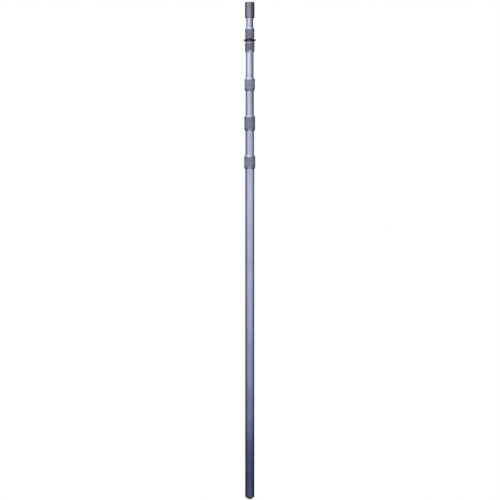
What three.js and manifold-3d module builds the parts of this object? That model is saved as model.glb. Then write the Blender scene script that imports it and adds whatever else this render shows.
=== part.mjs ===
// A telescoping boom pole: six nested aluminium tubes with a twist lock at each joint.
//
// Millimetres, +Z up along the pole. The origin is the centre of the rubber foot's
// underside. Each section's group stands at the bottom end of its tube, inside the
// group of the section that it slides in, so the groups nest as the pole does.

import * as THREE from 'three';
import { mergeVertices } from 'three/addons/utils/BufferGeometryUtils.js';
import Module from 'manifold-3d';

const wasm = await Module();
wasm.setup();

// ---------------------------------------------------------------- driving dimensions

const SIDES = 20; // facets around each round piece, lined up so that nested ones clear
const SCREW_SIDES = 12;
const BOND = 0.1; // glue line or push fit between two pieces that don't move apart

// Tubes. Section 1 is the base, and section 6 carries the tip.
const SECTIONS = 6;
const TUBE_LENGTH = 1203;
const TUBE_WALL = 0.6;
const BASE_TUBE_RADIUS = 16.5;
const RADIUS_STEP = 0.75; // a wall plus 0.15 of sliding gap
const BASE_TUBE_BOTTOM = 8;

// Twist locks 1 to 5, each on the top end of the tube of the same number.
const LOCK_HEIGHTS = [50, 56, 48, 40.5, 41];
const GRIP_RADII = [20.25, 19.75, 18.85, 17.2, 16.8];
const BARE_LENGTHS = [87, 87, 91, 8.5, 35]; // tube that shows above each lock
const HOME_GAP = 1.5; // left between two neighbours when a section is pushed home

const GRIP_WALL = 0.6;
const SHOULDER_INSET = 0.15; // the ferrule's shoulder from the grip's surface
const SEAL_INSET = 0.5;

// Lock radii, beyond the radius of the tube that carries the lock.
const THREAD_OFFSET = 1.4;
const NUT_BORE_OFFSET = 1.8;
const CONE_WIDE_OFFSET = 0.6; // mouth of the ferrule's inner cone
const CONE_NARROW_OFFSET = -0.35;
const FLANGE_OFFSET = 1.2; // collet flange, which the nut's groove holds
const GROOVE_OFFSET = 1.5;
const RIDGE_OFFSET = 0.9; // nut ridge under the collet flange
const NUT_MOUTH_OFFSET = 0.7; // inner edge of the nut's top chamfer
const WEDGE_GAP = 0.14; // between the collet's cone and the ferrule's

// Lock heights above the lock's lower edge.
const TAPER_TOP = 5.5;
const SHOULDER_TOP = 7;
const SEAL_HEIGHT = 0.9;
const NUT_BOTTOM = 8.3;
const GRIP_BOTTOM = 8.8;

// Lock depths below the lock's upper edge.
const CHAMFER_DEPTH = 5.5;
const RIM_DEPTH = 7;
const GROOVE_DEPTH = 10.7;
const RIDGE_DEPTH = 11.5;
const FERRULE_DEPTH = 12;
const COLLET_DEPTH = 17;
const CONE_DEPTH = 18;
const FLANGE_PLAY = 0.2; // above and below the collet flange
const COLLET_SLOT = 1.2;

// Guide bush in the bottom end of each sliding tube.
const BUSH_WALL = 2;
const BUSH_RIM = 6;
const BUSH_SPIGOT = 12;
const BUSH_PROUD = 0.08; // how far the rim stands out beyond its tube

// Base end: a plug with rounded edges, and a foot held by one screw.
const PLUG_BOTTOM = 5;
const PLUG_FLAT_RADIUS = 13.4;
const PLUG_SPIGOT_TOP = 24;
const PLUG_FLOOR = 10;
const PLUG_WALL = 2.5;
const FOOT_RADIUS = 9;
const FOOT_CHAMFER = 0.8;
const SCREW_HEAD = { radius: 3.4, bottom: 1.5, top: 3.7 };
const SCREW_SHANK = { radius: 2, top: 14 };
const SCREW_CLEARANCE = 0.2;

// Tip head: a barrel over the end of tube 6, with a threaded insert for the microphone.
const TIP_LENGTH = 57;
const TIP_RADIUS = 17.2;
const TIP_SEAT = 24; // depth of the tube in the head
const TIP_GROOVES = [38, 45];
const TIP_GROOVE_DEPTH = 0.6;
const TIP_CROWN = 3;
const INSERT_BOTTOM = 34;
const INSERT_RADIUS = 8;
const INSERT_BORE = 4.1; // minor radius of a 3/8-16 thread
const INSERT_RECESS = 0.5;
const CABLE_BORE = 5.5;
const SET_SCREW = { radius: 2, length: 3.4, socket: 1.1, socketDepth: 1.8, height: 12 };
const SET_SCREW_ANGLES = [30, 150];

// Bumper ring on tube 5, just above lock 4.
const RING_RADIUS = 21.5;
const RING_HEIGHT = 6;
const RING_CHAMFER = 1.2;

// --------------------------------------------------------------------------- finishes

const finish = (color, metalness, roughness) =>
  new THREE.MeshStandardMaterial({ color, metalness, roughness });

const FINISH = {
  tube: finish(0xa3a8be, 0.9, 0.35),
  collar: finish(0x9ca0ab, 0.9, 0.3),
  graphite: finish(0x63666f, 0.9, 0.45),
  tip: finish(0x4c4e55, 0.9, 0.4),
  plug: finish(0x2b2c2f, 0, 0.5),
  nylon: finish(0xd9d8cf, 0, 0.5),
  rubber: finish(0x17181a, 0, 0.8),
  brass: finish(0xb08d4a, 1, 0.3),
  steel: finish(0x6d7076, 1, 0.35),
};

// ---------------------------------------------------------------------- shape helpers

// A turned solid from its half section, listed anticlockwise as [radius, height].
function turned(section, sides = SIDES) {
  const closed = [...section, section[0]].map(([radius, height]) => new THREE.Vector2(radius, height));
  return new THREE.LatheGeometry(closed, sides).rotateX(Math.PI / 2);
}

// A turned solid with no bore: its section starts and ends on the axis.
function turnedOnAxis(section, sides = SIDES) {
  const outline = section.map(([radius, height]) => new THREE.Vector2(radius, height));
  return new THREE.LatheGeometry(outline, sides).rotateX(Math.PI / 2);
}

function toManifold(geometry) {
  const bare = geometry.clone();
  bare.deleteAttribute('normal');
  bare.deleteAttribute('uv');
  const merged = mergeVertices(bare, 1e-4);
  const mesh = new wasm.Mesh({
    numProp: 3,
    vertProperties: Float32Array.from(merged.attributes.position.array),
    triVerts: Uint32Array.from(merged.index.array),
  });
  mesh.merge();
  return new wasm.Manifold(mesh);
}

function toGeometry(solid) {
  const mesh = solid.getMesh();
  const geometry = new THREE.BufferGeometry();
  geometry.setAttribute('position', new THREE.BufferAttribute(mesh.vertProperties, 3));
  geometry.setIndex(new THREE.BufferAttribute(mesh.triVerts, 1));
  return geometry;
}

function cut(geometry, tools) {
  const solid = tools.reduce((body, tool) => body.subtract(toManifold(tool)), toManifold(geometry));
  return toGeometry(solid);
}

function piece(name, geometry, material, height = 0) {
  const mesh = new THREE.Mesh(geometry, material);
  mesh.name = name;
  mesh.position.z = height;
  return mesh;
}

// ------------------------------------------------------------------- where things lie

const tubeRadius = (section) => BASE_TUBE_RADIUS - RADIUS_STEP * (section - 1);
const tubeBore = (section) => tubeRadius(section) - TUBE_WALL;
const lockHeight = (lock) => LOCK_HEIGHTS[lock - 1];

// Lower edge of a lock, above the bottom of its own tube, which reaches halfway into it.
const lockBottom = (lock) => TUBE_LENGTH - lockHeight(lock) / 2;
const lockTop = (lock) => lockBottom(lock) + lockHeight(lock);

// Bottom of the next section's tube, above the bottom of this section's tube.
function nextTubeBottom(section) {
  const neighbourBottom = lockTop(section) + BARE_LENGTHS[section - 1];
  const neighbourOnItsTube = section + 1 < SECTIONS ? lockBottom(section + 1) : TUBE_LENGTH - TIP_SEAT;
  return neighbourBottom - neighbourOnItsTube;
}

// ------------------------------------------------------------------------------ tubes

const tube = (section) =>
  turned([
    [tubeBore(section), 0],
    [tubeRadius(section), 0],
    [tubeRadius(section), TUBE_LENGTH],
    [tubeBore(section), TUBE_LENGTH],
  ]);

// The bush's spigot is in the tube, and its rim runs in the tube around it.
function guideBush(section) {
  const rim = tubeRadius(section) + BUSH_PROUD;
  const spigot = tubeBore(section) - BOND;
  const bore = spigot - BUSH_WALL;
  return turned([
    [bore, -BOND - BUSH_RIM],
    [rim, -BOND - BUSH_RIM],
    [rim, -BOND],
    [spigot, -BOND],
    [spigot, BUSH_SPIGOT],
    [bore, BUSH_SPIGOT],
  ]);
}

// ------------------------------------------------------------------------ twist locks

// Radii that a lock's pieces share.
function lockRadii(lock) {
  const carrier = tubeRadius(lock);
  const grip = GRIP_RADII[lock - 1];
  return { carrier, grip, shoulder: grip - SHOULDER_INSET, nut: grip - GRIP_WALL - BOND };
}

// Bonded to the tube's end: a taper, a shoulder, a threaded neck and an inner cone.
function ferrule(lock) {
  const { carrier, shoulder } = lockRadii(lock);
  const height = lockHeight(lock);
  const seat = height / 2 + BOND;
  return turned([
    [carrier + BOND, 0],
    [carrier + CONE_WIDE_OFFSET, 0],
    [shoulder, TAPER_TOP],
    [shoulder, SHOULDER_TOP],
    [carrier + THREAD_OFFSET, SHOULDER_TOP],
    [carrier + THREAD_OFFSET, height - FERRULE_DEPTH],
    [carrier + CONE_WIDE_OFFSET, height - FERRULE_DEPTH],
    [carrier + CONE_NARROW_OFFSET, height - CONE_DEPTH],
    [carrier + CONE_NARROW_OFFSET, seat],
    [carrier + BOND, seat],
  ]);
}

// Rubber ring between the ferrule's shoulder and the nut.
function sealRing(lock) {
  const { carrier, shoulder } = lockRadii(lock);
  const bore = carrier + THREAD_OFFSET + BOND;
  const rim = shoulder - SEAL_INSET;
  const bottom = SHOULDER_TOP + BOND;
  return turned([
    [bore, bottom],
    [rim, bottom],
    [rim, bottom + SEAL_HEIGHT],
    [bore, bottom + SEAL_HEIGHT],
  ]);
}

// Threaded nut: its groove lifts and lowers the collet, and its top rim is chamfered.
function lockNut(lock) {
  const { carrier, grip, nut } = lockRadii(lock);
  const height = lockHeight(lock);
  return turned([
    [carrier + NUT_BORE_OFFSET, NUT_BOTTOM],
    [nut, NUT_BOTTOM],
    [nut, height - RIM_DEPTH],
    [grip, height - RIM_DEPTH],
    [grip, height - CHAMFER_DEPTH],
    [carrier + NUT_MOUTH_OFFSET, height],
    [carrier + CONE_NARROW_OFFSET, height],
    [carrier + CONE_NARROW_OFFSET, height - RIM_DEPTH],
    [carrier + GROOVE_OFFSET, height - RIM_DEPTH],
    [carrier + GROOVE_OFFSET, height - GROOVE_DEPTH],
    [carrier + RIDGE_OFFSET, height - GROOVE_DEPTH],
    [carrier + RIDGE_OFFSET, height - RIDGE_DEPTH],
    [carrier + NUT_BORE_OFFSET, height - RIDGE_DEPTH],
  ]);
}

function gripSleeve(lock) {
  const { grip, nut } = lockRadii(lock);
  const top = lockHeight(lock) - RIM_DEPTH - 3 * BOND;
  return turned([
    [nut + BOND, GRIP_BOTTOM],
    [grip, GRIP_BOTTOM],
    [grip, top],
    [nut + BOND, top],
  ]);
}

// Split collet: its cone wedges between the ferrule and the inner tube when pulled down.
function collet(lock) {
  const { carrier } = lockRadii(lock);
  const height = lockHeight(lock);
  const bore = tubeRadius(lock + 1) + BOND;
  const taper = (CONE_WIDE_OFFSET - CONE_NARROW_OFFSET) / (CONE_DEPTH - FERRULE_DEPTH);
  const coneRadius = (depth) => carrier + CONE_WIDE_OFFSET - WEDGE_GAP - taper * (depth - FERRULE_DEPTH);
  const flangeBottom = height - GROOVE_DEPTH + FLANGE_PLAY;
  const flangeTop = height - RIM_DEPTH - FLANGE_PLAY;
  const body = turned([
    [bore, height - COLLET_DEPTH],
    [coneRadius(COLLET_DEPTH), height - COLLET_DEPTH],
    [coneRadius(FERRULE_DEPTH), height - FERRULE_DEPTH],
    [coneRadius(FERRULE_DEPTH), flangeBottom],
    [carrier + FLANGE_OFFSET, flangeBottom],
    [carrier + FLANGE_OFFSET, flangeTop],
    [bore, flangeTop],
  ]);
  const slot = new THREE.BoxGeometry(2 * carrier, COLLET_SLOT, 2 * height).translate(carrier, 0, 0);
  return cut(body, [slot]);
}

// --------------------------------------------------------------------------- base end

function basePlug() {
  const spigot = tubeBore(1) - BOND;
  const flangeTop = BASE_TUBE_BOTTOM - BOND;
  const drop = flangeTop - PLUG_BOTTOM;
  const run = BASE_TUBE_RADIUS - PLUG_FLAT_RADIUS;
  const bore = SCREW_SHANK.radius + SCREW_CLEARANCE;
  const corner = [0, 30, 60, 90].map(THREE.MathUtils.degToRad).map((angle) => [
    PLUG_FLAT_RADIUS + run * Math.sin(angle),
    flangeTop - drop * Math.cos(angle),
  ]);
  return turned([
    [bore, PLUG_BOTTOM],
    ...corner,
    [spigot, flangeTop],
    [spigot, PLUG_SPIGOT_TOP],
    [spigot - PLUG_WALL, PLUG_SPIGOT_TOP],
    [spigot - PLUG_WALL, PLUG_FLOOR],
    [bore, PLUG_FLOOR],
  ]);
}

function baseFoot() {
  const top = PLUG_BOTTOM - BOND;
  const pocket = SCREW_HEAD.radius + 2 * SCREW_CLEARANCE;
  const bore = SCREW_SHANK.radius + SCREW_CLEARANCE;
  return turned([
    [pocket, 0],
    [FOOT_RADIUS - FOOT_CHAMFER, 0],
    [FOOT_RADIUS, FOOT_CHAMFER],
    [FOOT_RADIUS, top],
    [bore, top],
    [bore, SCREW_HEAD.top + BOND],
    [pocket, SCREW_HEAD.top + BOND],
  ]);
}

const baseScrew = () =>
  turnedOnAxis(
    [
      [0, SCREW_HEAD.bottom],
      [SCREW_HEAD.radius, SCREW_HEAD.bottom],
      [SCREW_HEAD.radius, SCREW_HEAD.top],
      [SCREW_SHANK.radius, SCREW_HEAD.top],
      [SCREW_SHANK.radius, SCREW_SHANK.top],
      [0, SCREW_SHANK.top],
    ],
    SCREW_SIDES,
  );

// ---------------------------------------------------------------------------- tip end

// Turns a piece that lies along +X to point outward at an angle around the pole.
const radially = (geometry, degrees) => geometry.rotateZ(THREE.MathUtils.degToRad(degrees));

function tipHead() {
  const seat = tubeRadius(SECTIONS) + BOND;
  const groove = (height) => [
    [TIP_RADIUS, height - TIP_GROOVE_DEPTH],
    [TIP_RADIUS - TIP_GROOVE_DEPTH, height],
    [TIP_RADIUS, height + TIP_GROOVE_DEPTH],
  ];
  const body = turned([
    [seat, 0],
    [TIP_RADIUS - 1, 0],
    [TIP_RADIUS, 1],
    ...TIP_GROOVES.flatMap(groove),
    [TIP_RADIUS, TIP_LENGTH - TIP_CROWN],
    [TIP_RADIUS - 0.3 * TIP_CROWN, TIP_LENGTH - 0.3 * TIP_CROWN],
    [TIP_RADIUS - TIP_CROWN, TIP_LENGTH],
    [INSERT_RADIUS + BOND, TIP_LENGTH],
    [INSERT_RADIUS + BOND, INSERT_BOTTOM],
    [CABLE_BORE, INSERT_BOTTOM],
    [CABLE_BORE, TIP_SEAT + BOND],
    [seat, TIP_SEAT + BOND],
  ]);
  const bores = SET_SCREW_ANGLES.map((angle) => {
    const bore = new THREE.CylinderGeometry(
      SET_SCREW.radius + BOND,
      SET_SCREW.radius + BOND,
      TIP_RADIUS,
      SCREW_SIDES,
    );
    bore.rotateZ(-Math.PI / 2).translate(seat - 1 + TIP_RADIUS / 2, 0, SET_SCREW.height);
    return radially(bore, angle);
  });
  return cut(body, bores);
}

const threadInsert = () =>
  turned([
    [INSERT_BORE, INSERT_BOTTOM + BOND],
    [INSERT_RADIUS, INSERT_BOTTOM + BOND],
    [INSERT_RADIUS, TIP_LENGTH - INSERT_RECESS],
    [INSERT_BORE, TIP_LENGTH - INSERT_RECESS],
  ]);

// A grub screw with a socket in its outer end, resting just off the tube.
function setScrew(degrees) {
  const { radius, length, socket, socketDepth, height } = SET_SCREW;
  const screw = turnedOnAxis(
    [
      [0, 0],
      [radius, 0],
      [radius, length],
      [socket, length],
      [socket, length - socketDepth],
      [0, length - socketDepth],
    ],
    SCREW_SIDES,
  );
  const start = tubeRadius(SECTIONS) + 2 * BOND;
  screw.rotateY(Math.PI / 2).translate(start, 0, height);
  return radially(screw, degrees);
}

function tip() {
  const group = new THREE.Group();
  group.add(piece('tip_head', tipHead(), FINISH.tip));
  group.add(piece('thread_insert', threadInsert(), FINISH.brass));
  SET_SCREW_ANGLES.forEach((angle, index) => {
    group.add(piece(`tip_set_screw_${index + 1}`, setScrew(angle), FINISH.steel));
  });
  return group;
}

function bumperRing() {
  const bore = tubeRadius(5) + BOND;
  return turned([
    [bore, 0],
    [RING_RADIUS - RING_CHAMFER, 0],
    [RING_RADIUS, RING_CHAMFER],
    [RING_RADIUS, RING_HEIGHT - RING_CHAMFER],
    [RING_RADIUS - RING_CHAMFER, RING_HEIGHT],
    [bore, RING_HEIGHT],
  ]);
}

// --------------------------------------------------------------------------- assembly

function lock(number) {
  const group = new THREE.Group();
  group.add(piece(`ferrule_${number}`, ferrule(number), FINISH.collar));
  group.add(piece(`seal_ring_${number}`, sealRing(number), FINISH.rubber));
  group.add(piece(`collet_${number}`, collet(number), FINISH.nylon));
  group.add(piece(`lock_nut_${number}`, lockNut(number), FINISH.collar));
  group.add(piece(`grip_sleeve_${number}`, gripSleeve(number), FINISH.graphite));
  group.position.z = lockBottom(number);
  return group;
}

// One section with everything that it carries, the smaller sections included.
function section(number) {
  const group = new THREE.Group();
  group.add(piece(`tube_${number}`, tube(number), FINISH.tube));
  if (number > 1) {
    group.add(piece(`guide_bush_${number}`, guideBush(number), FINISH.nylon));
  }
  if (number < SECTIONS) {
    group.add(lock(number));
    const next = section(number + 1);
    next.position.z = nextTubeBottom(number);
    group.add(next);
  } else {
    const head = tip();
    head.position.z = TUBE_LENGTH - TIP_SEAT;
    group.add(head);
  }
  if (number === 5) {
    const ringOnTube = lockTop(4) + HOME_GAP - nextTubeBottom(4);
    group.add(piece('bumper_ring', bumperRing(), FINISH.rubber, ringOnTube));
  }
  return group;
}

const pole = new THREE.Group();
pole.add(piece('base_foot', baseFoot(), FINISH.rubber));
pole.add(piece('base_screw', baseScrew(), FINISH.steel));
pole.add(piece('base_plug', basePlug(), FINISH.plug));

const baseSection = section(1);
baseSection.position.z = BASE_TUBE_BOTTOM;
pole.add(baseSection);

export default pole;
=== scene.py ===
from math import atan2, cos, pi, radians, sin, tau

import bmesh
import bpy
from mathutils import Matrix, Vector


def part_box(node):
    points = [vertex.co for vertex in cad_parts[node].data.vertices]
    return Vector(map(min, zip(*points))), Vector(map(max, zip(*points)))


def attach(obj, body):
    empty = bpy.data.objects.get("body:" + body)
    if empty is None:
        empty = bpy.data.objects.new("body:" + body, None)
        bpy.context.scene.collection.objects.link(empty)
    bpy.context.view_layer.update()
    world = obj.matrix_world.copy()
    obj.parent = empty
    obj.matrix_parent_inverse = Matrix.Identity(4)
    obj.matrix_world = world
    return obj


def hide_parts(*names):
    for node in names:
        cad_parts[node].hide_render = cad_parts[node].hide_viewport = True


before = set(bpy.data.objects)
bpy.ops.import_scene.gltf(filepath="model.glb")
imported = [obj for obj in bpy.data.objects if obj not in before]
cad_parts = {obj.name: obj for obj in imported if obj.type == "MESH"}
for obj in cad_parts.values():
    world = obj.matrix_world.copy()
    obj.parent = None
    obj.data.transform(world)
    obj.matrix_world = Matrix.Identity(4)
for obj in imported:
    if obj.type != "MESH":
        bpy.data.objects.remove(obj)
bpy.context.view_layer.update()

# The looks of a telescoping boom pole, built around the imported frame.
#
# Every piece is turned from an outline of (radius, height) points in millimetres, listed
# anticlockwise, and a few are then cut. Its mesh is in metres in the frame of the CAD model.
# Where a piece lies, and how large it is, comes from the box of the CAD node that it replaces.

MM = 0.001

# ------------------------------------------------------------------------ dimensions, mm

TUBES = range(1, 7)
SLIDING_TUBES = range(2, 7)
LOCKS = range(1, 6)

SEGMENTS = 88  # around a piece that shows
INNER_SEGMENTS = 64
SCREW_SEGMENTS = 48
BORE_SEGMENTS = 32
SHARP_ANGLE = radians(40)

TUBE_WALL = 0.6
TUBE_RING_STEP = 100.4

THREAD_PITCH = 2.0
THREAD_DEPTH = 0.5
THREAD_ROWS = 4  # rows of vertices in one pitch
FINE_PITCH = 0.7  # M4 screws
FINE_DEPTH = 0.3
TIP_PITCH = 25.4 / 16
TIP_THREAD_DEPTH = 0.62

KNURLS = 56  # diamonds around a grip sleeve
KNURL_RISE = 2.6
KNURL_DEPTH = 0.42
KNURL_BORDER = 1.3  # plain band at each end of a sleeve

BOND = 0.1  # glued or pressed joint
SLIP = 0.05  # around a sleeve that is pushed on

# Twist locks. Offsets are beyond the radius of the tube that carries the lock, heights are
# above the lock's lower edge, and depths are below its upper edge.
GRIP_WALL = 0.6
NECK_OFFSET = 1.4
NUT_BORE_OFFSET = 1.8
CONE_WIDE_OFFSET = 0.6
CONE_NARROW_OFFSET = -0.35
WEDGE_GAP = 0.14
FLANGE_OFFSET = 1.2
GROOVE_OFFSET = 1.5
RIDGE_OFFSET = 0.9
NUT_MOUTH_OFFSET = 0.7
TAPER_TOP = 5.5
SHOULDER_TOP = 7
CHAMFER_DEPTH = 5.5
RIM_DEPTH = 7
GROOVE_DEPTH = 10.7
RIDGE_DEPTH = 11.5
CONE_TOP_DEPTH = 12
COLLET_DEPTH = 17
CONE_DEPTH = 18
FLANGE_PLAY = 0.2
SLOT_WIDTH = 1.2
SLOT_ANGLES = (90, 180, 270)
SLOT_BRIDGE = 0.6  # left uncut under the flange
SLOT_REACH = 3  # outer end of a slot's cutter, beyond the carrier tube
TAPER_LIP = 0.6
NECK_LEAD = 0.3
THREAD_START = 1
THREAD_END = 0.5  # plain wall past a thread
NUT_LIP = 0.4
NUT_LIP_INSET = 0.2
CUT_MARGIN = 2  # how far a cutter reaches past what it cuts

# Grooves: half width at the mouth, half width at the floor, and depth.
BUSH_GROOVE = (0.6, 0.4, 0.5)
TREAD_GROOVE = (0.35, 0.2, 0.5)
TIP_GROOVE = (0.9, 0.4, 0.6)

BUSH_WALL = 2
BUSH_RIM = 6
BUSH_GROOVE_HEIGHT = 3

# Base end. Heights are above the lower edge of the piece.
SCREW_HOLE = 2.2
PLUG_FLANGE = 2.9
PLUG_FLAT = 13.4  # radius at which the rounded rim starts
PLUG_WALL = 2.5
PLUG_FLOOR = 5
PLUG_CHAMFER = 0.6
FOOT_RECESS = 3.8  # radius and depth of the recess for the screw head
FOOT_CHAMFER = 0.8
TREAD_RADII = (5.2, 6.9)
BASE_SCREW = {"shank": 2.0, "socket": 1.25, "socket_depth": 1.4, "head": 2.2, "lead": 0.4}
SCREW_CROWN = 1.2  # how far the rounding of the head reaches in and up
SCREW_CROWN_INNER = 0.35

# Tip end. Heights are above the lower edge of the head.
TIP_GROOVE_HEIGHTS = (38, 45)
TIP_CHAMFER = 1
TIP_CROWN = 3
TIP_CROWN_INNER = 0.9
TIP_SOCKET_CHAMFER = 0.5
CABLE_BORE = 5.5
TIP_SOCKET_FLOOR = 34
TIP_TUBE_SEAT = 24.1
SET_SCREW_BORE = 2.1
SET_SCREW = {"shank": 2.0, "socket": 1.0, "socket_depth": 1.8, "length": 3.4, "tip": 1.2}
SET_SCREW_POINT = 0.6  # height of the cone behind the flat tip
SET_SCREW_THREAD = (0.7, 0.3)  # where the thread starts and stops, from each end
SET_SCREW_CHAMFER = 0.25
INSERT_BORE = 4.1
INSERT_MOUTH = 0.9
INSERT_FOOT = 0.4
INSERT_RIM = 0.3

# ------------------------------------------------------------------------- frame lookups


def radius(node):
    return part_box(node)[1].x / MM


def bottom(node):
    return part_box(node)[0].z / MM


def top(node):
    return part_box(node)[1].z / MM


def section_body(number):
    return "base" if number == 1 else f"section_{number}"


# -------------------------------------------------------------------------- mesh building


STRAIGHT = 0.02  # sine of the turn under which a corner is left alone
FILLET_SHARE = 0.45  # of a side that one fillet may take


def rounded(before, corner, after, size, steps=3):
    """The points of one rounded corner of an outline, or the corner itself where it is straight."""
    before, corner, after = Vector(before), Vector(corner), Vector(after)
    back, ahead = before - corner, after - corner
    if abs(back.normalized().cross(ahead.normalized())) < STRAIGHT:
        return [corner]
    reach = min(size, FILLET_SHARE * back.length, FILLET_SHARE * ahead.length)
    start = corner + back.normalized() * reach
    end = corner + ahead.normalized() * reach
    shares = [step / steps for step in range(steps + 1)]
    return [start.lerp(corner, t).lerp(corner.lerp(end, t), t) for t in shares]


def filleted(outline, size, steps=3):
    """A closed outline with all its corners rounded."""
    count = len(outline)
    points = []
    for i, corner in enumerate(outline):
        points += rounded(outline[i - 1], corner, outline[(i + 1) % count], size, steps)
    return points


def groove(wall, middle, mouth, floor, depth):
    """The points of a groove in a straight wall, as (radius, height)."""
    return [
        (wall, middle - mouth),
        (wall - depth, middle - floor),
        (wall - depth, middle + floor),
        (wall, middle + mouth),
    ]


def rise(radius_mm, low, high, step):
    """Points up or down a straight wall, close enough together to carry a relief."""
    count = max(1, round(abs(high - low) / step))
    return [(radius_mm, low + (high - low) * i / count) for i in range(count + 1)]


def turned(name, outline, relief=None, segments=SEGMENTS, on_axis=False):
    """A solid turned from an outline. relief(angle, radius, height) is added to the radius.
    The outline closes on itself, or with on_axis starts and ends on the axis."""
    count = len(outline)
    corners = []
    for k in range(segments):
        angle = tau * k / segments
        for r, z in outline:
            reach = r + relief(angle, r, z) if relief else r
            corners.append((reach * cos(angle) * MM, reach * sin(angle) * MM, z * MM))
    sides = []
    for k in range(segments):
        here, there = k * count, (k + 1) % segments * count
        for i in range(count - 1 if on_axis else count):
            j = (i + 1) % count
            sides.append((here + i, there + i, there + j, here + j))
    mesh = bpy.data.meshes.new(name)
    mesh.from_pydata(corners, [], sides)
    if on_axis:
        weld(mesh)
    return shown(name, mesh)


def weld(mesh):
    """Joins the vertices that share a place, such as those on the axis."""
    work = bmesh.new()
    work.from_mesh(mesh)
    bmesh.ops.remove_doubles(work, verts=work.verts, dist=1e-7)
    work.to_mesh(mesh)
    work.free()


def shown(name, mesh):
    piece = bpy.data.objects.new(name, mesh)
    bpy.context.scene.collection.objects.link(piece)
    return piece


def follow_grooves(piece):
    """Splits each four-sided face along its shorter diagonal, which is the one in a groove."""
    work = bmesh.new()
    work.from_mesh(piece.data)
    bmesh.ops.triangulate(work, faces=work.faces, quad_method="SHORT_EDGE")
    work.to_mesh(piece.data)
    work.free()


def shade(piece):
    """Smooth shading that keeps hard edges crisp and flat faces flat."""
    piece.data.shade_smooth()
    piece.data.set_sharp_from_angle(angle=SHARP_ANGLE)
    weighted = piece.modifiers.new("weighted_normals", "WEIGHTED_NORMAL")
    weighted.keep_sharp = True


def cut(piece, cutters):
    """Cuts closed meshes out of a piece, then removes them."""
    for cutter in cutters:
        boolean = piece.modifiers.new("cut", "BOOLEAN")
        boolean.operation = "DIFFERENCE"
        boolean.solver = "EXACT"
        boolean.object = cutter
        result = piece.evaluated_get(bpy.context.evaluated_depsgraph_get())
        mesh = bpy.data.meshes.new_from_object(result)
        piece.modifiers.clear()
        piece.data = mesh
        bpy.data.objects.remove(cutter)
    return piece


def block(name, low, high, turn=0.0):
    """A cutter box between two corners in millimetres, turned about the pole's axis."""
    mesh = bpy.data.meshes.new(name)
    work = bmesh.new()
    bmesh.ops.create_cube(work, size=1)
    work.to_mesh(mesh)
    work.free()
    low, high = Vector(low) * MM, Vector(high) * MM
    mesh.transform(Matrix.Diagonal((*(high - low), 1)))
    mesh.transform(Matrix.Rotation(radians(turn), 4, "Z") @ Matrix.Translation((low + high) / 2))
    return shown(name, mesh)


# -------------------------------------------------------------------------------- reliefs


def triangle(turns):
    """0 at each whole turn and 1 halfway between."""
    return 1 - abs(2 * (turns % 1) - 1)


def fade(height, low, high, run):
    """1 between two heights, falling to 0 over a run inside each end."""
    return max(0.0, min(1.0, (height - low) / run, (high - height) / run))


def thread(wall, low, high, pitch, depth):
    """A right-hand screw thread on the wall at one radius, between two heights."""

    def relief(angle, r, z):
        if abs(r - wall) > 1e-6 or not low <= z <= high:
            return 0.0
        return depth * triangle(z / pitch - angle / tau) * fade(z, low, high, pitch)

    return relief


def knurl(wall, low, high):
    """Crossed grooves that leave pointed diamonds, between two heights."""

    def relief(angle, r, z):
        if abs(r - wall) > 1e-6 or not low <= z <= high:
            return 0.0
        across, up = KNURLS * angle / tau, (z - low) / KNURL_RISE
        point = min(triangle(across + up), triangle(across - up))
        return -KNURL_DEPTH * (1 - point) * fade(z, low, high, KNURL_RISE / 2)

    return relief


def hexagon(flat_radius):
    """Turns a round wall at that radius into a hexagon that has it as its flats' distance."""

    def relief(angle, r, z):
        if abs(r - flat_radius) > 1e-6:
            return 0.0
        from_flat = (angle + pi / 6) % (pi / 3) - pi / 6
        return flat_radius * (1 / cos(from_flat) - 1)

    return relief


def both(first, second):
    return lambda angle, r, z: first(angle, r, z) + second(angle, r, z)


# --------------------------------------------------------------------------- shader nodes


def put(tree, socket, value):
    """Sets a socket to a value, or links another node's output to it."""
    if isinstance(value, bpy.types.NodeSocket):
        tree.links.new(value, socket)
    else:
        socket.default_value = value


def added(tree, kind, operation=None, **values):
    """A new node in a tree, with some of its inputs set or linked by name."""
    node = tree.nodes.new("ShaderNode" + kind)
    if operation:
        node.operation = operation
    for name, value in values.items():
        put(tree, node.inputs[name.replace("_", " ").title()], value)
    return node


def maths(tree, operation, *inputs):
    node = added(tree, "Math", operation)
    for socket, value in zip(node.inputs, inputs):
        put(tree, socket, value)
    return node.outputs["Value"]


def vector(tree, operation, *inputs):
    node = added(tree, "VectorMath", operation)
    for socket, value in zip(node.inputs, inputs):
        put(tree, socket, value)
    return node.outputs["Value" if operation in ("DOT_PRODUCT", "LENGTH") else "Vector"]


def ranged(tree, value, from_min, from_max, to_min=0.0, to_max=1.0, smooth=True):
    """Maps a value from one range to another, and holds it at the ends."""
    node = added(tree, "MapRange", From_Min=from_min, From_Max=from_max, To_Min=to_min, To_Max=to_max)
    node.interpolation_type = "SMOOTHSTEP" if smooth else "LINEAR"
    put(tree, node.inputs["Value"], value)
    return node.outputs["Result"]


# ------------------------------------------------------------------------------ materials


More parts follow.
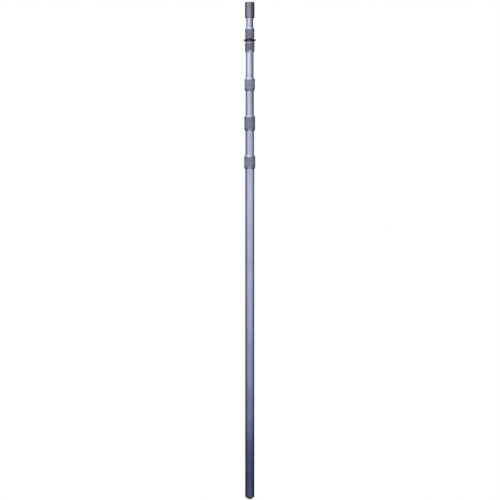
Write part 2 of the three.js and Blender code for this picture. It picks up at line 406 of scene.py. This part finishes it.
class Finish:
    """A material under construction, with short calls for its nodes."""

    def __init__(self, name, **shader):
        self.material = bpy.data.materials.new(name)
        self.material.use_nodes = True
        self.tree = self.material.node_tree
        self.shader = self.tree.nodes["Principled BSDF"]
        for socket, value in shader.items():
            self.shader.inputs[socket.replace("_", " ").title()].default_value = value
        self.place = added(self.tree, "TexCoord").outputs["Object"]

    def noise(self, scale, detail=4.0, stretch=(1, 1, 1), roughness=0.55):
        """Fractal noise. stretch scales the coordinates, so a small value draws it out."""
        mapping = added(self.tree, "Mapping", Vector=self.place, Scale=stretch)
        made = added(self.tree, "TexNoise", Scale=scale, Detail=detail, Roughness=roughness)
        put(self.tree, made.inputs["Vector"], mapping.outputs["Vector"])
        return made.outputs["Fac"]

    def spread(self, source, low, high, to_low=0.0, to_high=1.0):
        return ranged(self.tree, source, low, high, to_low, to_high)

    def multiply(self, first, second):
        return maths(self.tree, "MULTIPLY", first, second)

    def mix(self, factor, first, second):
        """Mixes two colours, each a colour or another node's output."""
        made = self.tree.nodes.new("ShaderNodeMix")
        made.data_type = "RGBA"
        put(self.tree, made.inputs["Factor"], factor)
        for socket, value in zip((made.inputs[6], made.inputs[7]), (first, second)):
            put(self.tree, socket, (*value, 1) if isinstance(value, tuple) else value)
        return made.outputs[2]

    def edges(self, low, high):
        """1 on convex edges, from the mesh's pointiness."""
        geometry = added(self.tree, "NewGeometry")
        return self.spread(geometry.outputs["Pointiness"], low, high)

    def bump(self, height, strength, distance):
        made = added(self.tree, "Bump", Strength=strength, Distance=distance, Height=height)
        put(self.tree, self.shader.inputs["Normal"], made.outputs["Normal"])

    def colour(self, source):
        put(self.tree, self.shader.inputs["Base Color"], source)
        return self.material

    def roughness(self, source):
        put(self.tree, self.shader.inputs["Roughness"], source)


def shades(colour, *factors):
    return [tuple(channel * factor for channel in colour) for factor in factors]


DARK_RIM = (0.35, 0.35, 0.4, 1)  # tint of a dark metal where it is seen edge on
ALONG = (1, 1, 0.004)  # draws noise out along the pole
AROUND = (0.02, 0.02, 1)  # draws it out around the pole


def tube_finish(name, colour, worn):
    """Satin anodised tube: drawn lines, cloudy sheen, sliding scratches and collet rings."""
    made = Finish(name, metallic=1.0)
    dark, light = shades(colour, 0.9, 1.06)
    drawn = made.noise(2600, 3, ALONG)
    clouds = made.noise(22, 5, (1, 1, 0.35))
    base = made.mix(made.spread(clouds, 0.35, 0.65), dark, light)
    scratches = made.spread(made.noise(900, 2, (1, 1, 0.02)), 0.66, 0.74, 0, worn)
    base = made.mix(scratches, base, shades(colour, 1.25)[0])
    rings = made.spread(made.noise(160, 3, (0.001, 0.001, 1)), 0.6, 0.7, 0, 0.5 * worn)
    base = made.mix(rings, base, shades(colour, 0.72)[0])
    made.roughness(made.spread(clouds, 0.3, 0.7, 0.25, 0.31))
    made.bump(drawn, 0.12, 0.00004)
    return made.colour(base)


def turned_finish(name, colour, roughness, edge_colour, grain=0.16, rim=(1, 1, 1, 1)):
    """Anodised metal off a lathe: fine rings, and a paler worn edge."""
    made = Finish(name, metallic=1.0, specular_tint=rim)
    rings = made.noise(3200, 2, AROUND)
    clouds = made.noise(60, 4)
    base = made.mix(made.spread(clouds, 0.3, 0.7), *shades(colour, 0.88, 1.08))
    worn = made.multiply(made.edges(0.52, 0.62), made.spread(clouds, 0.4, 0.6, 0.3, 0.9))
    base = made.mix(worn, base, edge_colour)
    made.roughness(made.spread(rings, 0.3, 0.7, roughness - 0.05, roughness + 0.07))
    made.bump(rings, grain, 0.00005)
    return made.colour(base)


def knurl_finish(name, colour, roughness):
    """Anodised knurling: painted shade in the grooves, and rubbed bright on the points."""
    made = Finish(name, metallic=1.0, specular_tint=DARK_RIM)
    patches = made.noise(90, 4)
    base = made.mix(made.spread(patches, 0.3, 0.7), *shades(colour, 0.85, 1.1))
    # painted shade: the grooves are darkened to 0.3 of the colour
    base = made.mix(made.edges(0.43, 0.53), shades(colour, 0.3)[0], base)
    rubbed = made.multiply(made.edges(0.54, 0.64), made.spread(patches, 0.45, 0.6, 0.1, 0.6))
    base = made.mix(rubbed, base, shades(colour, 1.9)[0])
    made.roughness(made.spread(patches, 0.3, 0.7, roughness - 0.06, roughness + 0.08))
    made.bump(made.noise(1800, 3), 0.2, 0.00004)
    return made.colour(base)


def rubber_finish(name, colour):
    made = Finish(name, roughness=0.7)
    speckle = made.noise(1500, 4)
    bloom = made.noise(70, 4)
    base = made.mix(made.spread(bloom, 0.4, 0.75), colour, shades(colour, 2.2)[0])
    made.roughness(made.spread(bloom, 0.3, 0.7, 0.6, 0.8))
    made.bump(speckle, 0.3, 0.00008)
    return made.colour(base)


def plastic_finish(name, colour, roughness):
    made = Finish(name)
    texture = made.noise(2400, 3)
    clouds = made.noise(45, 4)
    base = made.mix(made.spread(clouds, 0.3, 0.7), *shades(colour, 0.9, 1.06))
    base = made.mix(made.edges(0.53, 0.65), base, shades(colour, 1.3)[0])
    made.roughness(made.spread(texture, 0.3, 0.7, roughness - 0.06, roughness + 0.08))
    made.bump(texture, 0.2, 0.00005)
    return made.colour(base)


TUBE_COLOUR = (0.6, 0.62, 0.7)
COLLAR_COLOUR = (0.62, 0.63, 0.70)
GRAPHITE_COLOUR = (0.38, 0.39, 0.415)
# Each sleeve is made lighter or darker than the graphite, as a share of it: painted light and shade,
# which evens out the tent's light at each lock's height.
SLEEVE_PAINTED_LIGHT = {1: 1.1, 2: 0.95, 3: 1.2, 4: 0.75, 5: 0.85}  # shares of the graphite, tuned
KNURL_ROUGHNESS = 0.6
TIP_COLOUR = (0.28, 0.285, 0.305)
BRASS_COLOUR = (0.72, 0.52, 0.25)
STEEL_COLOUR = (0.34, 0.35, 0.37)
NYLON_COLOUR = (0.76, 0.75, 0.69)
RUBBER_COLOUR = (0.018, 0.018, 0.02)
PLUG_COLOUR = (0.03, 0.031, 0.036)

FINISHES = {
    "tube_anodised": tube_finish("tube_anodised_base", TUBE_COLOUR, 0.25),
    "collar_anodised": turned_finish("collar_anodised", COLLAR_COLOUR, 0.3, (0.8, 0.8, 0.82)),
    "tip_anodised": turned_finish("tip_anodised", TIP_COLOUR, 0.24, (0.5, 0.5, 0.52), 0.1, DARK_RIM),
    "plug_black": plastic_finish("plug_black", PLUG_COLOUR, 0.45),
    "nylon": plastic_finish("nylon", NYLON_COLOUR, 0.5),
    "black_rubber": rubber_finish("black_rubber", RUBBER_COLOUR),
    "brass": turned_finish("brass", BRASS_COLOUR, 0.28, (0.85, 0.68, 0.38)),
    "steel": turned_finish("steel", STEEL_COLOUR, 0.36, (0.6, 0.6, 0.62)),
}
SLIDING_FINISH = tube_finish("tube_anodised_sliding", TUBE_COLOUR, 0.6)
# one knurl material for each sleeve, lighter or darker as painted light and shade
SLEEVE_SHADED_FINISHES = {
    number: knurl_finish(f"graphite_knurl_{number}", shades(GRAPHITE_COLOUR, painted_light)[0], KNURL_ROUGHNESS)
    for number, painted_light in SLEEVE_PAINTED_LIGHT.items()
}


def finished(piece, node, body, slot, material=None):
    """Gives a piece its finish, and puts it in the frame in place of a CAD node."""
    piece.data.materials.clear()
    piece.data.materials.append(material or FINISHES[slot])
    shade(piece)
    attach(piece, body)
    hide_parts(node)
    return piece


# ---------------------------------------------------------------------------------- tubes


def tube(number):
    node = f"tube_{number}"
    outer, low, high = radius(node), bottom(node), top(node)
    inner = outer - TUBE_WALL
    walls = [*rise(outer, low, high, TUBE_RING_STEP), *rise(inner, high, low, TUBE_RING_STEP)]
    piece = turned(node + "_detail", filleted(walls, 0.15))
    material = SLIDING_FINISH if number in SLIDING_TUBES else None
    return finished(piece, node, section_body(number), "tube_anodised", material)


def guide_bush(number):
    """Nylon bush: a spigot in the tube's end, and a grooved rim that runs in the next tube."""
    node = f"guide_bush_{number}"
    rim, low, high = radius(node), bottom(node), top(node)
    spigot = radius(f"tube_{number}") - TUBE_WALL - BOND
    bore = spigot - BUSH_WALL
    outline = filleted(
        [
            (bore, low),
            (rim, low),
            *groove(rim, low + BUSH_GROOVE_HEIGHT, *BUSH_GROOVE),
            (rim, low + BUSH_RIM),
            (spigot, low + BUSH_RIM),
            (spigot, high),
            (bore, high),
        ],
        0.4,
    )
    piece = turned(node + "_detail", outline, segments=INNER_SEGMENTS)
    return finished(piece, node, section_body(number), "nylon")


# ------------------------------------------------------------------------------ the locks


class Lock:
    """Sizes that the pieces of one lock share. Heights are above the frame's floor."""

    def __init__(self, number):
        self.number = number
        self.body = section_body(number)
        self.nut_body = f"lock_{number}"
        self.carrier = radius(f"tube_{number}")
        self.shoulder = radius(f"ferrule_{number}")
        self.grip = radius(f"grip_sleeve_{number}")
        self.low = bottom(f"ferrule_{number}")
        self.high = top(f"lock_nut_{number}")
        self.nut_low = bottom(f"lock_nut_{number}")


def ferrule(lock):
    """Taper, shoulder, threaded neck and inner cone, bonded to the end of the tube."""
    node = f"ferrule_{lock.number}"
    carrier, low, high = lock.carrier, lock.low, lock.high
    neck, narrow = carrier + NECK_OFFSET, carrier + CONE_NARROW_OFFSET
    neck_top = high - CONE_TOP_DEPTH
    thread_low, thread_high = low + SHOULDER_TOP + THREAD_START, neck_top - THREAD_END
    seat = (low + high) / 2 + BOND
    outline = filleted(
        [
            (carrier + BOND, low),
            (carrier + TAPER_LIP, low),
            (lock.shoulder, low + TAPER_TOP),
            (lock.shoulder, low + SHOULDER_TOP),
            (neck, low + SHOULDER_TOP),
            *rise(neck, thread_low, thread_high, THREAD_PITCH / THREAD_ROWS),
            (neck - NECK_LEAD, neck_top),
            (carrier + CONE_WIDE_OFFSET, neck_top),
            (narrow, high - CONE_DEPTH),
            (narrow, seat),
            (carrier + BOND, seat),
        ],
        0.6,
    )
    helix = thread(neck, thread_low, thread_high, THREAD_PITCH, -THREAD_DEPTH)
    return finished(turned(node + "_detail", outline, helix), node, lock.body, "collar_anodised")


def seal_ring(lock):
    """Rubber ring, with a rounded edge that shows as a dark line."""
    node = f"seal_ring_{lock.number}"
    inner, outer = lock.carrier + NECK_OFFSET + BOND, radius(node)
    low, high = bottom(node), top(node)
    outline = filleted([(inner, low), (outer, low), (outer, high), (inner, high)], 0.4, steps=5)
    return finished(turned(node + "_detail", outline), node, lock.body, "black_rubber")


def lock_nut(lock):
    """Threaded nut with a retaining lip under its sleeve and a chamfered rim."""
    node = f"lock_nut_{lock.number}"
    carrier, grip, low, high = lock.carrier, lock.grip, lock.nut_low, lock.high
    barrel, bore = grip - GRIP_WALL - BOND, carrier + NUT_BORE_OFFSET
    recess, ridge, mouth = carrier + GROOVE_OFFSET, carrier + RIDGE_OFFSET, carrier + CONE_NARROW_OFFSET
    thread_low, thread_high = low + THREAD_END, high - RIDGE_DEPTH - THREAD_END
    outline = filleted(
        [
            (bore, low),
            (grip - NUT_LIP_INSET, low),
            (grip - NUT_LIP_INSET, low + NUT_LIP),
            (barrel, low + NUT_LIP),
            (barrel, high - RIM_DEPTH),
            (grip, high - RIM_DEPTH),
            (grip, high - CHAMFER_DEPTH),
            (carrier + NUT_MOUTH_OFFSET, high),
            (mouth, high),
            (mouth, high - RIM_DEPTH),
            (recess, high - RIM_DEPTH),
            (recess, high - GROOVE_DEPTH),
            (ridge, high - GROOVE_DEPTH),
            (ridge, high - RIDGE_DEPTH),
            (bore, high - RIDGE_DEPTH),
            *rise(bore, thread_high, thread_low, THREAD_PITCH / THREAD_ROWS),
        ],
        0.5,
    )
    helix = thread(bore, thread_low, thread_high, THREAD_PITCH, -THREAD_DEPTH)
    return finished(turned(node + "_detail", outline, helix), node, lock.nut_body, "collar_anodised")


def grip_sleeve(lock):
    """Knurled sleeve with a plain band at each end."""
    node = f"grip_sleeve_{lock.number}"
    outer, low, high = lock.grip, bottom(node), top(node)
    inner = outer - GRIP_WALL - SLIP
    start, end = low + KNURL_BORDER, high - KNURL_BORDER
    knurled = rise(outer, start, end, KNURL_RISE / 4)
    outline = filleted([(inner, low), (outer, low), *knurled, (outer, high), (inner, high)], 0.25)
    piece = turned(node + "_detail", outline, knurl(outer, start, end), segments=4 * KNURLS)
    follow_grooves(piece)
    return finished(piece, node, lock.nut_body, "graphite_anodised", SLEEVE_SHADED_FINISHES[lock.number])


def collet(lock):
    """Split nylon collet: one slot goes right through, and three more free its fingers."""
    node = f"collet_{lock.number}"
    carrier, high = lock.carrier, lock.high
    bore = radius(f"tube_{lock.number + 1}") + BOND
    wide = carrier + CONE_WIDE_OFFSET - WEDGE_GAP
    slope = (CONE_WIDE_OFFSET - CONE_NARROW_OFFSET) / (CONE_DEPTH - CONE_TOP_DEPTH)
    low, flange_low = high - COLLET_DEPTH, high - GROOVE_DEPTH + FLANGE_PLAY
    outline = filleted(
        [
            (bore, low),
            (wide - slope * (COLLET_DEPTH - CONE_TOP_DEPTH), low),
            (wide, high - CONE_TOP_DEPTH),
            (wide, flange_low),
            (carrier + FLANGE_OFFSET, flange_low),
            (carrier + FLANGE_OFFSET, high - RIM_DEPTH - FLANGE_PLAY),
            (bore, high - RIM_DEPTH - FLANGE_PLAY),
        ],
        0.25,
    )
    near = (bore - CUT_MARGIN, -SLOT_WIDTH / 2, low - CUT_MARGIN)
    far, half = carrier + SLOT_REACH, SLOT_WIDTH / 2
    slots = [block("slot", near, (far, half, high))]
    slots += [block("slot", near, (far, half, flange_low - SLOT_BRIDGE), angle) for angle in SLOT_ANGLES]
    piece = cut(turned(node + "_detail", outline), slots)
    return finished(piece, node, node, "nylon")


# ------------------------------------------------------------------------------- base end


def base_plug():
    """Black end plug: a quarter-round rim under the tube, and a hollow spigot inside it."""
    node = "base_plug"
    rim, low, high = radius(node), bottom(node), top(node)
    flange_top = low + PLUG_FLANGE
    spigot = rim - TUBE_WALL - BOND
    quarter = [
        (
            PLUG_FLAT + (rim - PLUG_FLAT) * sin(radians(angle)),
            flange_top - PLUG_FLANGE * cos(radians(angle)),
        )
        for angle in range(0, 91, 10)
    ]
    outline = [
        *rounded((SCREW_HOLE, high), (SCREW_HOLE, low), (PLUG_FLAT, low), 0.1),
        *quarter,
        (spigot, flange_top),
        (spigot, high - PLUG_CHAMFER),
        (spigot - PLUG_CHAMFER, high),
        (spigot - PLUG_WALL, high),
        (spigot - PLUG_WALL, low + PLUG_FLOOR),
        (SCREW_HOLE, low + PLUG_FLOOR),
    ]
    return finished(turned(node + "_detail", outline), node, "base", "plug_black")


def base_foot():
    """Rubber foot: a recess for the screw head, and two grooves in its tread."""
    node = "base_foot"
    outer, low, high = radius(node), bottom(node), top(node)
    tread = []
    for middle in TREAD_RADII:
        mouth, floor, depth = TREAD_GROOVE
        tread += [(r, z) for z, r in groove(low, middle, mouth, floor, -depth)]
    outline = filleted(
        [
            (FOOT_RECESS, low),
            *tread,
            (outer - FOOT_CHAMFER, low),
            (outer, low + FOOT_CHAMFER),
            (outer, high),
            (SCREW_HOLE, high),
            (SCREW_HOLE, low + FOOT_RECESS),
            (FOOT_RECESS, low + FOOT_RECESS),
        ],
        0.3,
    )
    return finished(turned(node + "_detail", outline), node, "base", "black_rubber")


def base_screw():
    node = "base_screw"
    head, low, high = radius(node), bottom(node), top(node)
    shank, socket, lead = BASE_SCREW["shank"], BASE_SCREW["socket"], BASE_SCREW["lead"]
    socket_top, head_top = low + BASE_SCREW["socket_depth"], low + BASE_SCREW["head"]
    thread_low, thread_high = head_top + lead, high - lead
    outline = [
        (0, socket_top),
        (socket, socket_top),
        (socket, low),
        (head - SCREW_CROWN, low),
        (head - SCREW_CROWN_INNER, low + SCREW_CROWN_INNER),
        (head, low + SCREW_CROWN),
        (head, head_top),
        (shank, head_top),
        *rise(shank, thread_low, thread_high, FINE_PITCH / THREAD_ROWS),
        (shank - lead, high),
        (0, high),
    ]
    helix = thread(shank, thread_low, thread_high, FINE_PITCH, -FINE_DEPTH)
    relief = both(hexagon(socket), helix)
    piece = turned(node + "_detail", outline, relief, SCREW_SEGMENTS, on_axis=True)
    return finished(piece, node, "base", "steel")


# -------------------------------------------------------------------------------- tip end


def radial_place(node):
    """The matrix that points a piece's +Z outward at a node's place beside the axis."""
    low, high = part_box(node)
    middle = (low + high) / 2
    turn = Matrix.Rotation(atan2(middle.y, middle.x), 4, "Z") @ Matrix.Rotation(pi / 2, 4, "Y")
    return Matrix.Translation((0, 0, middle.z)) @ turn


def tip_head():
    """Barrel with two shallow grooves, a rounded crown and a bore for each set screw."""
    node = "tip_head"
    outer, low, high = radius(node), bottom(node), top(node)
    seat = radius("tube_6") + BOND
    socket = radius("thread_insert") + BOND
    grooves = []
    for height in TIP_GROOVE_HEIGHTS:
        grooves += groove(outer, low + height, *TIP_GROOVE)
    outline = filleted(
        [
            (seat, low),
            (outer - TIP_CHAMFER, low),
            (outer, low + TIP_CHAMFER),
            *grooves,
            (outer, high - TIP_CROWN),
            (outer - TIP_CROWN_INNER, high - TIP_CROWN_INNER),
            (outer - TIP_CROWN, high),
            (socket + TIP_SOCKET_CHAMFER, high),
            (socket, high - TIP_SOCKET_CHAMFER),
            (socket, low + TIP_SOCKET_FLOOR),
            (CABLE_BORE, low + TIP_SOCKET_FLOOR),
            (CABLE_BORE, low + TIP_TUBE_SEAT),
            (seat, low + TIP_TUBE_SEAT),
        ],
        0.6,
    )
    piece = turned(node + "_detail", outline)
    near, far = seat - 1, outer + CUT_MARGIN
    bore_outline = [(0, near), (SET_SCREW_BORE, near), (SET_SCREW_BORE, far), (0, far)]
    bores = []
    for screw in ("tip_set_screw_1", "tip_set_screw_2"):
        bore = turned("bore", bore_outline, segments=BORE_SEGMENTS, on_axis=True)
        bore.data.transform(radial_place(screw))
        bores.append(bore)
    return finished(cut(piece, bores), node, "section_6", "tip_anodised")


def thread_insert():
    """Brass insert with a right-hand 3/8-16 thread and a countersunk mouth."""
    node = "thread_insert"
    outer, low, high = radius(node), bottom(node), top(node)
    bore = INSERT_BORE
    thread_low, thread_high = low + INSERT_RIM, high - INSERT_MOUTH - INSERT_RIM
    outline = filleted(
        [
            (bore, low),
            (outer - INSERT_FOOT, low),
            (outer, low + INSERT_FOOT),
            (outer, high - INSERT_RIM),
            (outer - INSERT_RIM, high),
            (bore + INSERT_MOUTH, high),
            (bore, high - INSERT_MOUTH),
            *rise(bore, thread_high, thread_low, TIP_PITCH / THREAD_ROWS),
        ],
        0.15,
    )
    helix = thread(bore, thread_low, thread_high, TIP_PITCH, TIP_THREAD_DEPTH)
    return finished(turned(node + "_detail", outline, helix), node, "section_6", "brass")


def set_screw(number):
    node = f"tip_set_screw_{number}"
    shank, socket = SET_SCREW["shank"], SET_SCREW["socket"]
    start = radius("tube_6") + 2 * BOND
    end = start + SET_SCREW["length"]
    thread_low, thread_high = start + SET_SCREW_THREAD[0], end - SET_SCREW_THREAD[1]
    socket_floor = end - SET_SCREW["socket_depth"]
    outline = [
        (0, start),
        (SET_SCREW["tip"], start),
        (shank, start + SET_SCREW_POINT),
        *rise(shank, thread_low, thread_high, FINE_PITCH / THREAD_ROWS),
        (shank - SET_SCREW_CHAMFER, end),
        (socket, end),
        (socket, socket_floor),
        (0, socket_floor),
    ]
    helix = thread(shank, thread_low, thread_high, FINE_PITCH, -FINE_DEPTH)
    relief = both(hexagon(socket), helix)
    piece = turned(node + "_detail", outline, relief, SCREW_SEGMENTS, on_axis=True)
    piece.data.transform(radial_place(node))
    return finished(piece, node, "section_6", "steel")


def bumper_ring():
    node = "bumper_ring"
    outer, low, high = radius(node), bottom(node), top(node)
    inner = radius("tube_5") + BOND
    outline = filleted([(inner, low), (outer, low), (outer, high), (inner, high)], 1.4, steps=6)
    return finished(turned(node + "_detail", outline), node, "section_5", "black_rubber")


# ------------------------------------------------------------------------------- assembly

for number in TUBES:
    tube(number)
for number in SLIDING_TUBES:
    guide_bush(number)
for number in LOCKS:
    lock = Lock(number)
    ferrule(lock)
    seal_ring(lock)
    lock_nut(lock)
    grip_sleeve(lock)
    collet(lock)
base_plug()
base_foot()
base_screw()
tip_head()
thread_insert()
set_screw(1)
set_screw(2)
bumper_ring()

# -------------------------------------------------------------------- floor, light, camera

CAMERA_DISTANCE = 6
CAMERA_HEIGHT = 0.895
CAMERA_ASIDE = 0.0009
LENS = 120

# A wide open tent of light around the pole. Its colour by height, in metres: blue and dim low
# down, brighter higher up. It is tuned to one reference view, and isn't neutral.
TENT_SEGMENTS = 96
TENT_RADIUS = 1.6
TENT_BOTTOM = -0.9
TENT_TOP = 2.8
TENT_COLOURS = (
    (-0.9, (0.0, 0.005, 0.03)),
    (-0.28, (0.0, 0.005, 0.03)),
    (-0.06, (0.02, 0.035, 0.14)),
    (0.13, (0.155, 0.21, 0.41)),
    (0.4, (0.4, 0.44, 0.61)),
    (0.76, (0.59, 0.62, 0.8)),
    (1.16, (0.75, 0.77, 0.95)),
    (1.4, (0.72, 0.77, 0.97)),
    (1.55, (0.45, 0.52, 0.68)),
    (1.68, (1.3, 1.3, 1.52)),
    (1.78, (1.5, 1.5, 1.7)),
    (1.92, (0.95, 0.95, 1.06)),
    (2.8, (0.6, 0.6, 0.68)),
)
# Its strength by azimuth: a little all round, and banks given as azimuth, half width at full
# strength, half width where the bank ends, strength low down and strength high up. Azimuth 0
# is the camera's side, and 90 is to its right.
TENT_AMBIENT = 0.1
BANKS = (
    (2, 40, 106, 0.94, 0.2),
    (-32, 12, 80, 0.0, 0.7),
    (180, 25, 60, 0.35, 0.35),
)
BANK_CHANGE = (1.35, 1.72)  # heights between which a bank changes
OPEN_ENDS = (0.8, 0.82, 1.0)  # light beyond the tent's open ends
OPEN_BELOW, OPEN_ABOVE = 0.95, 1.25
OPEN_AZIMUTH = -35  # the side that this light comes from, mostly
OPEN_FAR, OPEN_NEAR = 0.25, 1.2
CONTACT_SHADE = 0.3
CONTACT_REACH = 0.03
FLOOR_SIZE = 30
FLOOR_DROP = 0.0005

# Softboxes: azimuth, distance, height, size, power in watts and colour.
SOFTBOXES = {
    "key": (-32, 2.2, 2.2, (0.7, 1.2), 4, (1.0, 0.98, 0.96)),
    "back": (165, 2.6, 1.7, (0.9, 1.6), 8, (0.95, 0.97, 1.0)),
}


def white_to_the_camera(tree, shader, output):
    """The camera sees plain white, and the pole sees the shader."""
    path = tree.nodes.new("ShaderNodeLightPath")
    mixed = tree.nodes.new("ShaderNodeMixShader")
    tree.links.new(path.outputs["Is Camera Ray"], mixed.inputs["Fac"])
    tree.links.new(shader, mixed.inputs[1])
    tree.links.new(mixed.outputs["Shader"], output)
    return mixed.inputs[2]


def toward(azimuth):
    """The level direction of an azimuth."""
    return (sin(radians(azimuth)), -cos(radians(azimuth)), 0)


def emptied(material):
    """The node tree of a material or world, with nothing in it."""
    material.use_nodes = True
    material.node_tree.nodes.clear()
    return material.node_tree


def studio_world():
    world = bpy.data.worlds.new("studio")
    bpy.context.scene.world = world
    tree = emptied(world)
    direction = added(tree, "TexCoord").outputs["Generated"]
    up = vector(tree, "DOT_PRODUCT", direction, (0, 0, 1))
    near = vector(tree, "DOT_PRODUCT", direction, toward(OPEN_AZIMUTH))
    by_height = ranged(tree, up, -0.1, 0.1, OPEN_BELOW, OPEN_ABOVE)
    by_side = ranged(tree, near, -0.5, 0.5, OPEN_FAR, OPEN_NEAR)
    strength = maths(tree, "MULTIPLY", by_height, by_side)
    around = added(tree, "Background", Color=(*OPEN_ENDS, 1), Strength=strength)
    plain = added(tree, "Background", Color=(1, 1, 1, 1))
    output = added(tree, "OutputWorld")
    seen = white_to_the_camera(tree, around.outputs["Background"], output.inputs["Surface"])
    tree.links.new(plain.outputs["Background"], seen)


def tent_shell():
    """An open cylinder around the pole, facing inward."""
    mesh = bpy.data.meshes.new("light_tent")
    corners = [
        (TENT_RADIUS * cos(tau * k / TENT_SEGMENTS), TENT_RADIUS * sin(tau * k / TENT_SEGMENTS), z)
        for k in range(TENT_SEGMENTS)
        for z in (TENT_BOTTOM, TENT_TOP)
    ]
    sides = []
    for k in range(TENT_SEGMENTS):
        here, there = 2 * k, 2 * ((k + 1) % TENT_SEGMENTS)
        sides.append((here, here + 1, there + 1, there))
    mesh.from_pydata(corners, [], sides)
    return shown("light_tent", mesh)


def light_tent():
    tent = tent_shell()
    material = bpy.data.materials.new("light_tent")
    tree = emptied(material)
    place = added(tree, "TexCoord").outputs["Object"]
    height = vector(tree, "DOT_PRODUCT", place, (0, 0, 1))
    level = vector(tree, "NORMALIZE", vector(tree, "MULTIPLY", place, (1, 1, 0)))

    ramp = added(tree, "ValToRGB", Fac=ranged(tree, height, TENT_BOTTOM, TENT_TOP, smooth=False))
    stops = ramp.color_ramp.elements
    stops.remove(stops[-1])
    for i, (at, colour) in enumerate(TENT_COLOURS):
        share = (at - TENT_BOTTOM) / (TENT_TOP - TENT_BOTTOM)
        stop = stops[0] if i == 0 else stops.new(share)
        stop.position, stop.color = share, (*colour, 1)

    total = TENT_AMBIENT
    for azimuth, full, end, low, high in BANKS:
        facing = vector(tree, "DOT_PRODUCT", level, toward(azimuth))
        lit = ranged(tree, facing, cos(radians(end)), cos(radians(full)))
        strength = ranged(tree, height, *BANK_CHANGE, low, high)
        total = maths(tree, "MULTIPLY_ADD", lit, strength, total)

    glow = added(tree, "Emission", Color=ramp.outputs["Color"], Strength=total)
    output = added(tree, "OutputMaterial")
    tree.links.new(glow.outputs["Emission"], output.inputs["Surface"])
    tent.data.materials.append(material)
    tent.visible_camera = False
    tent.visible_shadow = False


def studio_floor():
    """A pale floor, a little darker right around the foot: a painted contact shadow."""
    mesh = bpy.data.meshes.new("floor")
    work = bmesh.new()
    bmesh.ops.create_grid(work, x_segments=1, y_segments=1, size=FLOOR_SIZE)
    work.to_mesh(mesh)
    work.free()
    floor = shown("floor", mesh)
    floor.location.z = -FLOOR_DROP
    material = bpy.data.materials.new("pale_floor")
    tree = emptied(material)
    place = added(tree, "TexCoord").outputs["Object"]
    away = vector(tree, "LENGTH", place)
    # painted shadow: the floor glows dimmer within CONTACT_REACH of the axis
    glow = added(tree, "Emission", Strength=ranged(tree, away, 0, CONTACT_REACH, 1 - CONTACT_SHADE, 1))
    output = added(tree, "OutputMaterial")
    tree.links.new(glow.outputs["Emission"], output.inputs["Surface"])
    mesh.materials.append(material)
    floor.visible_glossy = False
    floor.visible_diffuse = False


def softbox(name, azimuth, distance, height, size, power, colour):
    """An area light that faces the pole. Azimuth 0 is the camera's side, positive to its right."""
    data = bpy.data.lights.new(name, "AREA")
    data.shape = "RECTANGLE"
    data.size, data.size_y = size
    data.energy = power
    data.color = colour
    light = bpy.data.objects.new(name, data)
    bpy.context.scene.collection.objects.link(light)
    angle = radians(azimuth)
    light.location = (distance * sin(angle), -distance * cos(angle), height)
    aim = Vector((0, 0, height)) - light.location
    light.rotation_euler = aim.to_track_quat("-Z", "Y").to_euler()
    light.visible_camera = False
    return light


def studio_lights():
    for name, settings in SOFTBOXES.items():
        softbox(name, *settings)


def studio_camera():
    data = bpy.data.cameras.new("camera")
    data.lens = LENS
    data.sensor_width = 36
    camera = bpy.data.objects.new("camera", data)
    bpy.context.scene.collection.objects.link(camera)
    camera.location = (CAMERA_ASIDE, -CAMERA_DISTANCE, CAMERA_HEIGHT)
    camera.rotation_euler = (pi / 2, 0, 0)
    bpy.context.scene.camera = camera


studio_world()
light_tent()
studio_floor()
studio_lights()
studio_camera()
bpy.context.scene.view_settings.view_transform = "Standard"
